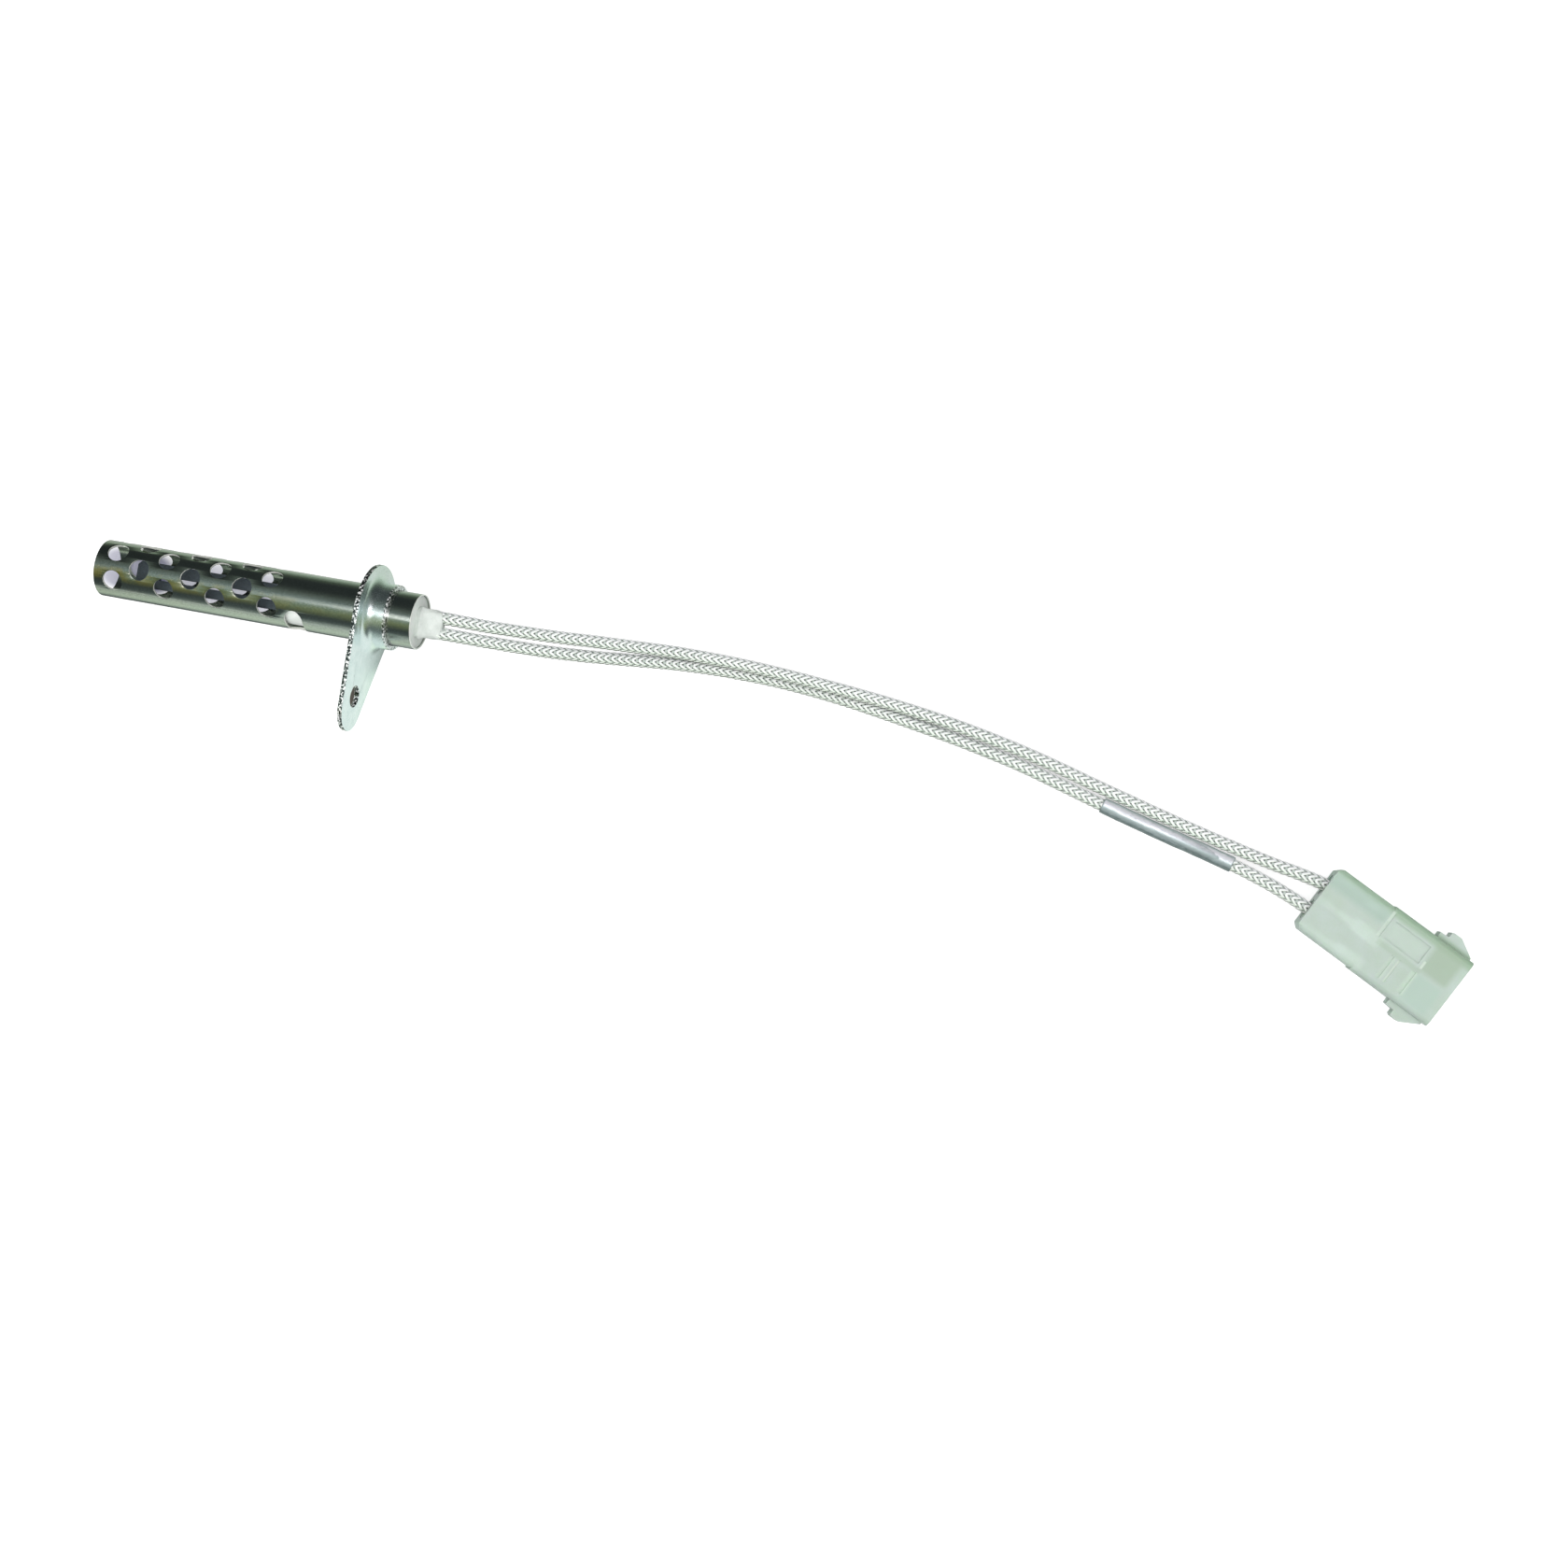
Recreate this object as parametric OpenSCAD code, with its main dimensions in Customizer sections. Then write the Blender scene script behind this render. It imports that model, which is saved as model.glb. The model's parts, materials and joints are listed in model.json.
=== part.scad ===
// Flame sensor probe: a perforated steel tube on a stamped flange with one screw lug,
// two braided leads and a two-way panel connector, lying on a flat surface at z = 0.
// Units are millimetres. +X runs from the open tip towards the leads, -Y is the lug's side.

/* [Shield tube] */
// Outside diameter of the perforated tube
tube_d = 12.7; // [12.4:0.1:13]
// Wall thickness of the tube
tube_wall = 0.5; // [0.4:0.05:0.6]
// Length of the tube from the open tip to the rear rim
tube_len = 75.4; // [75:0.1:76]
// Diameter of the small round holes
vent_d = 4.7; // [4:0.1:5.2]
// Distance of the first ring of holes from the tip
first_ring = 4.6; // [4.5:0.05:5]
// Distance from one ring of holes to the next
ring_step = 6.2; // [6:0.05:6.25]
// Width of the crosswise filling slot over the insulator
port_w = 4.3; // [4:0.1:4.6]
// Length of the filling slot, measured straight across the tube
port_len = 8.2; // [7.6:0.1:8.4]

/* [Mounting flange] */
// Distance of the flange's front face from the tip
flange_at = 64; // [63.5:0.1:64.5]
// Radius of the round part of the flange
disc_r = 11; // [10.8:0.1:11.5]
// Thickness of the flange's sheet metal
sheet = 1.1; // [0.9:0.05:1.2]
// Radius of the fillet between the disc and its collar
bend_r = 2.2; // [1.8:0.1:2.4]
// Length of the flange from its front face to the end of the collar
collar_len = 5.9; // [5:0.1:6.2]
// Distance from the tube's axis to the centre of the lug's round end
lug_reach = 21.4; // [21:0.1:22]
// Radius of the lug's round end
lug_r = 5.5; // [5:0.1:5.8]
// Distance from the tube's axis to the screw hole
screw_at = 19.1; // [18.5:0.1:19.5]
// Diameter of the screw hole
screw_d = 4.8; // [4.2:0.1:5]
// Angle of the lug above the horizontal, in degrees
lug_rise = 12; // [8:1:14]

/* [Insulator and element] */
// Distance of the ceramic insulator's front end from the tip
ceramic_front = 44.5; // [44:0.1:45]
// Distance of the sensing element's tip from the tube's tip
element_front = 7.6; // [7.2:0.1:8]
// Width of the sensing element
element_w = 5.8; // [5.4:0.1:6]
// Thickness of the sensing element
element_t = 1.6; // [1.2:0.1:1.8]

/* [Leads] */
// Outside diameter of a braided lead
lead_d = 2.9; // [2.6:0.1:2.9]
// Diameter of the bare conductor inside a lead
core_d = 1.2; // [1:0.1:1.3]
// Outside diameter of the marker sleeve
sleeve_d = 3.5; // [3.3:0.1:3.6]

/* [Connector] */
// Length of the connector housing
shell_len = 33.8; // [33.4:0.1:34.2]
// Width of the connector's mating shroud
shell_w = 16.4; // [16.2:0.1:16.6]
// Height of the connector housing
shell_h = 9.2; // [9:0.1:9.4]
// Distance between the two contacts
contact_pitch = 6.35; // [6.3:0.05:6.4]

/* [Hidden] */
$fn = 48;

tube_r = tube_d / 2;
bore_r = tube_r - tube_wall;
// The rear end is a little narrower, as a seat for the flange's collar
seat_r = tube_r - 0.2;
collar_r = seat_r + sheet;
bend_at = collar_r + bend_r;
// Slope of the tube's axis when the tip's rim and the disc's edge both touch the surface
tilt = atan((disc_r - tube_r) / flange_at);

// Rings and rows of holes: every second ring is turned by one row, and one side stays plain
ring_count = 7;
row_angle = 62;
row_step = 32;
last_row = 8;
drill_from = 4.9;
port_at = 48;
port_angle = 25;
port_from = 2;

// Insulator: thinner front part, front pocket for the element, two wire bores, rear pocket for the leads
wire_y = 1.7;
front_r = 5.3;
front_len = 7.5;
front_pocket = 6;
wire_bore_r = 1.2;
rear_pocket_at = 66;
lead_pocket_r = 1.65;
ceramic_end = tube_len - 0.5;
element_end = ceramic_front + 4;
pin_r = 0.4;
pin_end = 59;
splice_at = 55.5;
splice_len = 8;
splice_r = 1.1;
cement_end = tube_len + 1.2;
insulation_at = 65;
insulation_r = 1.15;

// Centre of the probe's own box, so that the origin is under its middle
probe_front = -tube_r * sin(tilt);
probe_rear = cement_end * cos(tilt) + (lead_pocket_r + 1) * sin(tilt);
mid_x = (probe_front + probe_rear) / 2;
mid_y = (disc_r - lug_reach * cos(lug_rise) - lug_r) / 2;

// Connector: place on the surface, and the sizes of its inner and outer details
shell_at = [238.2, -16.1, 0];
shell_yaw = -26.6;
body_w = shell_w - 0.6;
body_len = 14.2;
wall = 1.3;
wire_cavity_r = 2.55;
contact_cavity_r = 1.75;
cavity_step = 9;
corner_r = 1.3;
contact_z = shell_h / 2;
lead_entry = 6;
shroud_at = body_len + 2;
ear_h = 4.6;
nub = 1.4;
// Recesses in the upper face, each as its start along X, its start along Y, length, width and depth
recesses = [
    [14.3, 0.8, 0.6, 6.3, 0.2],
    [15.8, 1.2, 8.8, 4.4, 0.3],
    [19.2, -6.2, 0.7, 5.6, 0.25],
    [21, -6.2, 0.4, 5.6, 0.15],
    [24.6, -6.2, 0.8, 5.6, 0.25]
];
// Pin contact: insulation crimp, wire crimp, barrel that fills its cavity, and the pin
crimp_wall = 0.35;
insulation_crimp = 3.5;
stripped = 1.2;
wire_crimp = 3.4;
barrel_at = lead_entry + stripped + wire_crimp;
pin_at = body_len + 4;
pin_tip = 27;
contact_pin_r = 1.05;

// Routes of the two leads, from the cement to the contacts
near_route = [
    [38.1, 6, 11.9], [44, 6, 12.2], [52, 6, 11.7], [60, 6.1, 10.7], [68, 6.4, 9.4],
    [76, 7, 8], [84, 7.8, 6.5], [92, 8.6, 5.1], [100, 9.1, 3.8], [108, 9.2, 2.8],
    [116, 9, 2], [124, 8.4, 1.6], [132, 7.5, 1.5], [140, 6.3, 1.5], [148, 5, 1.5],
    [156, 3.6, 1.5], [164, 2, 1.5], [172, 0.2, 1.5], [180, -2, 1.6], [190.5, -5, 1.8],
    [196, -6.5, 1.8], [204, -8.6, 1.8], [212, -10.6, 1.9], [220, -12.7, 2.4], [227, -14.9, 3.5],
    [232, -16.8, 4.3], [236.8, -18.9, 4.6], [242.1, -21.6, 4.6]
];
far_route = [
    [38.1, 9.4, 11.9], [44, 9.4, 12.3], [52, 9.3, 12.1], [60, 9.5, 11.4], [68, 9.8, 10.4],
    [76, 10.3, 9.3], [84, 10.7, 8.2], [92, 11.1, 7.1], [100, 11.2, 6.1], [108, 11.1, 5.3],
    [116, 10.7, 4.6], [124, 10.1, 4.2], [132, 9.4, 3.8], [140, 8.6, 3.4], [148, 7.6, 3.1],
    [156, 6.4, 2.8], [164, 4.9, 2.5], [172, 3.2, 2.1], [180, 1.2, 1.7], [188, -1, 1.6],
    [196, -3.1, 1.5], [204, -5.2, 1.5], [212, -7.2, 1.6], [220, -9.1, 2.3], [228, -10.9, 3.5],
    [234, -12, 4.3], [239.7, -13.4, 4.6], [245, -15.9, 4.6]
];
// The marker sleeve covers these points of the near lead's route
sleeve_from = 19;
sleeve_to = 23;

// Frames: the probe on its tilted axis, and the connector where it lies
module on_probe() {
    translate([-mid_x, -mid_y, tube_r * cos(tilt)]) rotate([0, -tilt, 0]) children();
}

module on_connector() {
    translate(shell_at) rotate([0, 0, shell_yaw]) children();
}

// Rod along X from x0 to x1
module rod(x0, x1, r, y = 0, z = 0) {
    translate([x0, y, z]) rotate([0, 90, 0]) cylinder(h = x1 - x0, r = r);
}

// Two rods side by side and the web between them, as one oblong bar
module oblong(x0, x1, r) {
    rod(x0, x1, r, wire_y);
    rod(x0, x1, r, -wire_y);
    translate([x0, -wire_y, -r]) cube([x1 - x0, 2 * wire_y, 2 * r]);
}

// Radial place on the tube at distance x, angle measured from -Y up to +Z, from radius r outwards
module radial(x, angle, r) {
    translate([x, 0, 0]) rotate([90 - angle, 0, 0]) translate([0, 0, r]) children();
}

module drill(x, angle, d) {
    radial(x, angle, drill_from) cylinder(h = tube_r - drill_from + 1, d = d, $fn = 32);
}

// Cutter for the filling slot: straight sides and round ends
module port(w, l) {
    radial(port_at, port_angle, port_from) linear_extrude(tube_r - port_from + 1) {
        square([w, l - w], center = true);
        for (y = [-1, 1]) translate([0, y * (l - w) / 2]) circle(d = w);
    }
}

// Sweep of a round section along a route, one ring to each point
function unit(v) = v / norm(v);
function heading(p, i) = unit(p[min(i + 1, len(p) - 1)] - p[max(i - 1, 0)]);
function ring(c, t, r, n) =
    let (side = unit(cross([0, 0, 1], t)), up = cross(t, side))
    [for (k = [0:n - 1]) c + r * (cos(360 * k / n) * side + sin(360 * k / n) * up)];

module sweep(path, r, n = 8) {
    last = len(path) - 1;
    points = [for (i = [0:last]) each ring(path[i], heading(path, i), r, n)];
    sides = [
        for (i = [0:last - 1]) for (k = [0:n - 1])
        [i * n + k, (i + 1) * n + k, (i + 1) * n + (k + 1) % n, i * n + (k + 1) % n]
    ];
    front = [for (k = [0:n - 1]) k];
    back = [for (k = [n - 1:-1:0]) last * n + k];
    polyhedron(points = points, faces = concat([front], sides, [back]), convexity = 4);
}

// Probe head
module shield_tube() {
    color("lightgray") on_probe() difference() {
        union() {
            rod(0, flange_at, tube_r, $fn = 64);
            rod(flange_at - 1, tube_len, seat_r, $fn = 64);
        }
        rod(-1, tube_len + 1, bore_r, $fn = 64);
        for (i = [0:ring_count - 1]) {
            for (j = [i % 2:2:last_row]) {
                drill(first_ring + i * ring_step, row_angle + row_step * j, vent_d);
            }
        }
        port(port_w, port_len);
    }
}

// Flat outline of the flange: the disc, the lug's round end and the straight sides between them
module flange_plate() {
    hull() {
        cylinder(h = sheet, r = disc_r, $fn = 96);
        translate([lug_reach, 0, 0]) cylinder(h = sheet, r = lug_r, $fn = 64);
    }
}

// Drawn collar: the sheet bends through a quarter circle and runs along the tube
module flange_collar() {
    rotate_extrude($fn = 96) {
        intersection() {
            translate([bend_at, sheet + bend_r]) difference() {
                circle(r = bend_r + sheet, $fn = 64);
                circle(r = bend_r, $fn = 64);
            }
            square([bend_at, sheet + bend_r]);
        }
        translate([seat_r, sheet + bend_r]) square([sheet, collar_len - sheet - bend_r]);
    }
}

module mounting_flange() {
    color("silver") on_probe() translate([flange_at, 0, 0]) rotate([0, 90, 0])
    rotate([0, 0, -90 - lug_rise]) {
        difference() {
            flange_plate();
            translate([0, 0, -1]) cylinder(h = sheet + 2, r = bend_at, $fn = 96);
            translate([screw_at, 0, -1]) cylinder(h = sheet + 2, d = screw_d);
        }
        flange_collar();
    }
}

module ceramic_insulator() {
    color("ivory") on_probe() difference() {
        union() {
            rod(ceramic_front, ceramic_front + front_len + 1, front_r, $fn = 96);
            rod(ceramic_front + front_len, ceramic_end, bore_r, $fn = 96);
        }
        translate([ceramic_front - 1, -element_w / 2 - 0.4, -element_t / 2 - 0.4])
        cube([front_pocket + 1, element_w + 0.8, element_t + 0.8]);
        for (y = [-wire_y, wire_y]) rod(ceramic_front + 1, ceramic_end, wire_bore_r, y);
        oblong(rear_pocket_at, ceramic_end + 1, lead_pocket_r);
    }
}

module front_cement() {
    color("whitesmoke") on_probe() difference() {
        translate([ceramic_front, -element_w / 2 - 0.4, -element_t / 2 - 0.4])
        cube([element_end - ceramic_front, element_w + 0.8, element_t + 0.8]);
        translate([ceramic_front - 1, -element_w / 2, -element_t / 2])
        cube([element_end - ceramic_front + 2, element_w, element_t]);
    }
}

module rear_cement() {
    color("white") on_probe() difference() {
        union() {
            oblong(rear_pocket_at, ceramic_end, lead_pocket_r);
            oblong(ceramic_end, cement_end, lead_pocket_r + 1);
        }
        for (y = [-wire_y, wire_y]) rod(rear_pocket_at - 1, cement_end - 0.3, insulation_r, y);
    }
}

// Hairpin blade: two legs joined at the tip, with bevelled tip corners
module sensing_element() {
    slot = 1;
    slot_y = -0.3;
    bevel = 0.8;
    half = element_w / 2;
    color("dimgray") on_probe() translate([0, 0, -element_t / 2]) linear_extrude(element_t)
    difference() {
        polygon([
            [element_front + bevel, -half], [element_end, -half], [element_end, half],
            [element_front + bevel, half], [element_front, half - bevel], [element_front, bevel - half]
        ]);
        translate([element_front + 5.4, slot_y - slot / 2]) square([element_end, slot]);
    }
}

module element_pin(y) {
    color("silver") on_probe() rod(element_end, pin_end, pin_r, y);
}

module splice(y) {
    color("gray") on_probe() difference() {
        rod(splice_at, splice_at + splice_len, splice_r, y);
        rod(splice_at - 1, pin_end, pin_r, y);
        rod(pin_end, splice_at + splice_len + 1, core_d / 2, y);
    }
}

// The bare ends of one conductor: one in its splice, the other in its contact's crimp
module conductor(y, side) {
    color("peru") {
        on_probe() rod(pin_end, insulation_at, core_d / 2, y);
        on_connector() rod(lead_entry + stripped, barrel_at - 0.2, core_d / 2,
            side * contact_pitch / 2, contact_z);
    }
}

// The rubber under the braid, where it shows at both ends of one lead
module insulation(y, side) {
    color("gainsboro") {
        on_probe() rod(insulation_at, cement_end - 0.3, insulation_r, y);
        on_connector() rod(lead_entry, lead_entry + stripped, insulation_r,
            side * contact_pitch / 2, contact_z);
    }
}

// Leads
module lead(route) {
    color("whitesmoke") sweep(route, lead_d / 2);
}

module marker_sleeve() {
    color("silver") difference() {
        sweep([for (i = [sleeve_from:sleeve_to]) near_route[i]], sleeve_d / 2);
        sweep(near_route, lead_d / 2);
    }
}

// Connector housing, drawn along +X from the wire end, centred on Y
module rounded_block(x0, x1, w, h, r) {
    translate([x0, 0, h / 2]) rotate([90, 0, 90]) linear_extrude(x1 - x0) {
        square([w - 2 * r, h], center = true);
        square([w, h - 2 * r], center = true);
        for (y = [r - w / 2, w / 2 - r]) for (z = [r - h / 2, h / 2 - r]) translate([y, z]) circle(r = r);
    }
}

// One panel ear on the side of the shroud: ramp, catch step and stop shoulder
module panel_ear() {
    translate([0, 0, (shell_h - ear_h) / 2]) linear_extrude(ear_h) polygon([
        [24.7, shell_w / 2 - 0.1], [24.7, shell_w / 2 + 1.3], [26.7, shell_w / 2 + 1.4],
        [26.7, shell_w / 2 + 2.5], [27.2, shell_w / 2 + 2.8], [29, shell_w / 2 + 2.8],
        [32.9, shell_w / 2 + 0.5], [33, shell_w / 2 - 0.1]
    ]);
}

module connector_housing() {
    color("honeydew") on_connector() difference() {
        union() {
            rounded_block(0, body_len, body_w, shell_h, corner_r);
            rounded_block(body_len, shell_len, shell_w, shell_h, corner_r);
            panel_ear();
            mirror([0, 1, 0]) panel_ear();
            // Small nubs on the mating corners
            for (y = [-1, 1]) translate([shell_len - 0.8, y * (shell_w - nub) / 2 - nub / 2, 2 * nub])
            cube([1.2, nub, shell_h - 4 * nub]);
        }
        shroud_hollow();
        // Wire cavities and contact cavities
        for (y = [-contact_pitch / 2, contact_pitch / 2]) {
            rod(-1, cavity_step, wire_cavity_r, y, contact_z);
            rod(cavity_step - 1, pin_at, contact_cavity_r, y, contact_z);
        }
        for (r = recesses) translate([r[0], r[1], shell_h - r[4]]) cube([r[2], r[3], 1]);
        // Chamfered rear corners
        for (y = [-1, 1]) translate([0, y * body_w / 2, -1]) rotate([0, 0, 45])
        cube([1.5, 1.5, 2 * shell_h + 2], center = true);
    }
}

// Hollow of the mating shroud, open at the mating end
module shroud_hollow() {
    translate([0, 0, wall])
    rounded_block(shroud_at, shell_len + 1, shell_w - 2 * wall, shell_h - 2 * wall, corner_r - 0.5);
}

// One contact: the two crimps are tubes, joined by a strap that runs under the insulation
module contact(y) {
    wire_crimp_at = lead_entry + stripped;
    strap_z = contact_z - lead_d / 2 - 0.3;
    color("gold") on_connector() {
        difference() {
            union() {
                rod(lead_entry - insulation_crimp, lead_entry, lead_d / 2 + crimp_wall, y, contact_z);
                rod(wire_crimp_at, barrel_at, contact_pin_r, y, contact_z);
            }
            rod(lead_entry - insulation_crimp - 1, lead_entry + 0.1, lead_d / 2, y, contact_z);
            rod(wire_crimp_at - 0.1, barrel_at - 0.2, core_d / 2, y, contact_z);
        }
        translate([lead_entry - 0.2, y - 0.6, strap_z]) cube([stripped + 0.4, 1.2, 0.3]);
        translate([wire_crimp_at, y - 0.6, strap_z]) cube([0.6, 1.2, 0.8]);
        rod(barrel_at, pin_at, contact_cavity_r - 0.1, y, contact_z);
        rod(pin_at, pin_tip - contact_pin_r, contact_pin_r, y, contact_z);
        translate([pin_tip - contact_pin_r, y, contact_z]) sphere(r = contact_pin_r);
    }
}

module near_element_pin() element_pin(-wire_y);
module far_element_pin() element_pin(wire_y);
module near_splice() splice(-wire_y);
module far_splice() splice(wire_y);
module near_conductor() conductor(-wire_y, -1);
module far_conductor() conductor(wire_y, 1);
module near_insulation() insulation(-wire_y, -1);
module far_insulation() insulation(wire_y, 1);
module near_lead() lead(near_route);
module far_lead() lead(far_route);
module near_contact() contact(-contact_pitch / 2);
module far_contact() contact(contact_pitch / 2);

shield_tube();
mounting_flange();
ceramic_insulator();
front_cement();
rear_cement();
sensing_element();
near_element_pin();
far_element_pin();
near_splice();
far_splice();
near_conductor();
far_conductor();
near_insulation();
far_insulation();
near_lead();
far_lead();
marker_sleeve();
connector_housing();
near_contact();
far_contact();
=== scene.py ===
import json
import math

import bpy
import numpy as np
from mathutils import Matrix, Vector, noise


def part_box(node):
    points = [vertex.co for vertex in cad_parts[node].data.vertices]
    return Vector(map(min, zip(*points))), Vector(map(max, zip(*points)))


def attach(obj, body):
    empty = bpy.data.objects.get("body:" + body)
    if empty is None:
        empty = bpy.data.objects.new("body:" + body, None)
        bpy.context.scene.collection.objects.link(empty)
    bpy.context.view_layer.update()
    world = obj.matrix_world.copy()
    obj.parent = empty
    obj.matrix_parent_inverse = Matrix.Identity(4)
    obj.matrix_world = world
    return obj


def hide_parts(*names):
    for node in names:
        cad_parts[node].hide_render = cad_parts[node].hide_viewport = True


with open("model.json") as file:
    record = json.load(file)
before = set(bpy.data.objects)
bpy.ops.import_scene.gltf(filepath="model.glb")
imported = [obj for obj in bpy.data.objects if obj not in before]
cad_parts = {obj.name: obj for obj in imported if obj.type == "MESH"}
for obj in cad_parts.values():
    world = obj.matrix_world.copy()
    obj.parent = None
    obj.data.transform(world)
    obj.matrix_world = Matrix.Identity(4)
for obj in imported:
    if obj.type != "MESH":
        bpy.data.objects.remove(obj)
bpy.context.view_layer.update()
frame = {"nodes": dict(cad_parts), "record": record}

MM = 0.001
scene = bpy.context.scene
record = frame["record"]
nodes = frame["nodes"]
BODY = "root"


# ---------------------------------------------------------------- the frame's own places
def mount(name):
    """Position and axis of one of the record's mounts."""
    found = next(m for m in record["mounts"] if m["name"] == name)
    return Vector(found["pos_m"]), Vector(found["axis"]).normalized()


tube_point, tube_out = mount("probe_tube")
AXIS = -tube_out                                  # from the open tip towards the leads
SIDE = Vector((0, 1, 0))
RISE = AXIS.cross(SIDE).normalized()              # up, square to the tube
tube_low, tube_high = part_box("shield_tube")
TUBE_R = (tube_high.y - tube_low.y) / 2
TIP = tube_point + AXIS * ((tube_low.x + TUBE_R * abs(AXIS.z) - tube_point.x) / AXIS.x)
TILT = math.atan2(AXIS.z, AXIS.x)

mating_point, CONN_X = mount("connector_mating_face")
SHELL_LEN = 33.8 * MM                             # from the connector's wire end to its mating face
CONN_AT = Vector((mating_point.x, mating_point.y, 0)) - CONN_X * SHELL_LEN
CONN_YAW = math.atan2(CONN_X.y, CONN_X.x)


def on_probe(along, side, rise):
    """A point in the row frame from millimetres along, beside and above the tube's axis."""
    return TIP + (AXIS * along + SIDE * side + RISE * rise) * MM


# ---------------------------------------------------------------- camera
CAMERA_AT = (0.179553, -0.012930, 0.497679)       # metres, fitted to the photograph
CAMERA_TURN = (1.208, 6.562, 10.419)              # degrees about X, Y and Z
CAMERA_LENS = 52.17                               # mm, for a sensor 36 mm wide


def make_camera():
    """The photograph's camera, which looks down on the part."""
    camera = bpy.data.objects.new("camera", bpy.data.cameras.new("camera"))
    scene.collection.objects.link(camera)
    camera.location = CAMERA_AT
    camera.rotation_euler = [math.radians(angle) for angle in CAMERA_TURN]
    camera.data.sensor_width = 36
    camera.data.lens = CAMERA_LENS
    camera.data.clip_start = 0.01
    camera.data.clip_end = 100
    scene.camera = camera


make_camera()

# ---------------------------------------------------------------- routes of the leads, in metres
NEAR_ROUTE = [
    (0.0381, 0.006, 0.0119), (0.044, 0.006, 0.0122), (0.052, 0.006, 0.0117),
    (0.06, 0.0061, 0.0107), (0.068, 0.0064, 0.0094), (0.076, 0.007, 0.008),
    (0.084, 0.0078, 0.0065), (0.092, 0.0086, 0.0051), (0.1, 0.0091, 0.0038),
    (0.108, 0.0092, 0.0028), (0.116, 0.009, 0.002), (0.124, 0.0084, 0.0016),
    (0.132, 0.0075, 0.0015), (0.14, 0.0063, 0.0015), (0.148, 0.005, 0.0015),
    (0.156, 0.0036, 0.0015), (0.164, 0.002, 0.0015), (0.172, 0.0002, 0.0015),
    (0.18, -0.002, 0.0016), (0.1905, -0.005, 0.0018), (0.196, -0.0065, 0.0018),
    (0.204, -0.0086, 0.0018), (0.212, -0.0106, 0.0019), (0.22, -0.0127, 0.0024),
    (0.227, -0.0149, 0.0035), (0.232, -0.0168, 0.0043), (0.2368, -0.0189, 0.0046),
    (0.2421, -0.0216, 0.0046),
]
FAR_ROUTE = [
    (0.0381, 0.0094, 0.0119), (0.044, 0.0094, 0.0123), (0.052, 0.0093, 0.0121),
    (0.06, 0.0095, 0.0114), (0.068, 0.0098, 0.0104), (0.076, 0.0103, 0.0093),
    (0.084, 0.0107, 0.0082), (0.092, 0.0111, 0.0071), (0.1, 0.0112, 0.0061),
    (0.108, 0.0111, 0.0053), (0.116, 0.0107, 0.0046), (0.124, 0.0101, 0.0042),
    (0.132, 0.0094, 0.0038), (0.14, 0.0086, 0.0034), (0.148, 0.0076, 0.0031),
    (0.156, 0.0064, 0.0028), (0.164, 0.0049, 0.0025), (0.172, 0.0032, 0.0021),
    (0.18, 0.0012, 0.0017), (0.188, -0.001, 0.0016), (0.196, -0.0031, 0.0015),
    (0.204, -0.0052, 0.0015), (0.212, -0.0072, 0.0016), (0.22, -0.0091, 0.0023),
    (0.228, -0.0109, 0.0035), (0.234, -0.012, 0.0043), (0.2397, -0.0134, 0.0046),
    (0.245, -0.0159, 0.0046),
]
SLEEVE_FROM = 19              # the marker sleeve lies between these two points of the near route
SLEEVE_TO = 23


class Route:
    """A smooth line through a route's points, with a frame that doesn't twist, by length along it."""

    def __init__(self, points, step=0.25 * MM):
        p = np.array(points, float)
        ends = np.vstack([2 * p[0] - p[1], p, 2 * p[-1] - p[-2]])
        line = []
        for i in range(len(p) - 1):
            a, b, c, d = ends[i:i + 4]
            count = max(2, int(np.linalg.norm(c - b) / step))
            t = np.linspace(0, 1, count, endpoint=False)[:, None]
            line.append(0.5 * (2 * b + (c - a) * t + (2 * a - 5 * b + 4 * c - d) * t ** 2
                               + (3 * b - a - 3 * c + d) * t ** 3))
        self.line = np.vstack(line + [p[-1:]])
        self.at = np.r_[0, np.cumsum(np.linalg.norm(np.diff(self.line, axis=0), axis=1))]
        self.length = float(self.at[-1])
        self.knots = [self.at[np.argmin(np.linalg.norm(self.line - q, axis=1))] for q in p]
        tangent = np.gradient(self.line, self.at, axis=0)
        tangent /= np.linalg.norm(tangent, axis=1)[:, None]
        side = np.cross((0, 0, 1), tangent[0])
        sides = []
        for t in tangent:
            side = side - t * (side @ t)
            side /= np.linalg.norm(side)
            sides.append(side)
        self.side = np.array(sides)
        self.up = np.cross(tangent, self.side)

    def points(self, along, angle, radius):
        """Points at a length along the line, an angle round it and a radius from it."""
        along = np.clip(along, 0, self.length)
        pick = [np.stack([np.interp(along, self.at, v[:, k]) for k in range(3)], -1)
                for v in (self.line, self.side, self.up)]
        return pick[0] + radius[..., None] * (np.cos(angle)[..., None] * pick[1]
                                              + np.sin(angle)[..., None] * pick[2])


def new_mesh(name, vertices, faces, smooth=True, material_of_face=None):
    """A new object in the scene; material_of_face gives each face's place in its list of materials."""
    mesh = bpy.data.meshes.new(name)
    mesh.from_pydata([tuple(v) for v in vertices], [], faces)
    mesh.update()
    if smooth:
        mesh.shade_smooth()
    if material_of_face is not None:
        mesh.polygons.foreach_set("material_index", np.array(material_of_face, np.int32))
    piece = bpy.data.objects.new(name, mesh)
    scene.collection.objects.link(piece)
    return piece


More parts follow.
